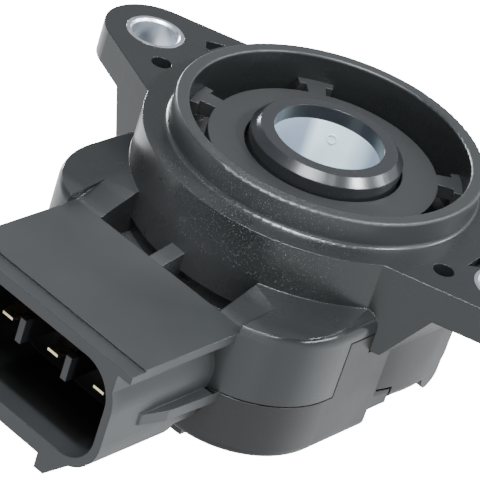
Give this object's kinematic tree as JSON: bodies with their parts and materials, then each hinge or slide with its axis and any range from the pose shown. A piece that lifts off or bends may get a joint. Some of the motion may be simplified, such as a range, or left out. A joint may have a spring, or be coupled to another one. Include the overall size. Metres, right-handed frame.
{
  "type": "throttle position sensor",
  "caption": "Rotary position sensor: flanged moulded housing with a locating ring, steel-bushed bolt ears, side connector and a sprung rotor with a drive socket.",
  "frame": {"origin": "centre of the flange's mounting face, on the rotor's axis", "axes": "+Z out of the mounting face along the rotor's axis; +X towards one mounting ear; -Y out of the connector's mouth"},
  "size_m": [0.0612, 0.0572, 0.0269],
  "materials": {
    "housing_black": "satin moulded plastic",
    "cover_black": "satin moulded plastic",
    "plate_black": "satin moulded plastic",
    "rotor_black": "glossy moulded plastic",
    "insert_white": "natural white moulded plastic",
    "bush_steel": "zinc-plated turned steel",
    "ring_steel": "spring steel",
    "spring_steel": "drawn wire",
    "bearing_bronze": "sintered",
    "washer_plastic": "moulded",
    "seal_rubber": "matt",
    "wiper_metal": "bright sprung strip",
    "board_brown": "laminate",
    "resistor_ink": "printed",
    "collector_ink": "printed",
    "pin_plate": "tin-gold plated"
  },
  "bodies": {
    "sensor_body": {"housing": "housing_black", "rear_cover": "cover_black", "cover_seal": "seal_rubber", "mount_bush_left": "bush_steel", "mount_bush_right": "bush_steel", "retainer_plate": "plate_black", "wave_washer": "ring_steel", "rotor_seal": "seal_rubber", "rotor_bearing": "bearing_bronze", "thrust_washer": "washer_plastic", "return_spring": "spring_steel", "resistor_board": "board_brown", "resistive_track": "resistor_ink", "collector_track": "collector_ink", "terminal_left": "pin_plate", "terminal_centre": "pin_plate", "terminal_right": "pin_plate"},
    "rotor": {"rotor": "rotor_black", "drive_insert": "insert_white", "retaining_ring": "ring_steel", "wiper_carrier": "rotor_black", "wiper_contact_a": "wiper_metal", "wiper_contact_b": "wiper_metal"}
  },
  "joints": [
    {"name": "rotor_turn", "type": "hinge", "parent": "sensor_body", "child": "rotor", "pos_m": [0, 0, 0], "axis": [0, 0, 1], "range_deg": [0, 95], "stiffness_Nm_per_rad": 0.01, "springref_deg": -28.65, "deforming": ["return_spring"]}
  ]
}
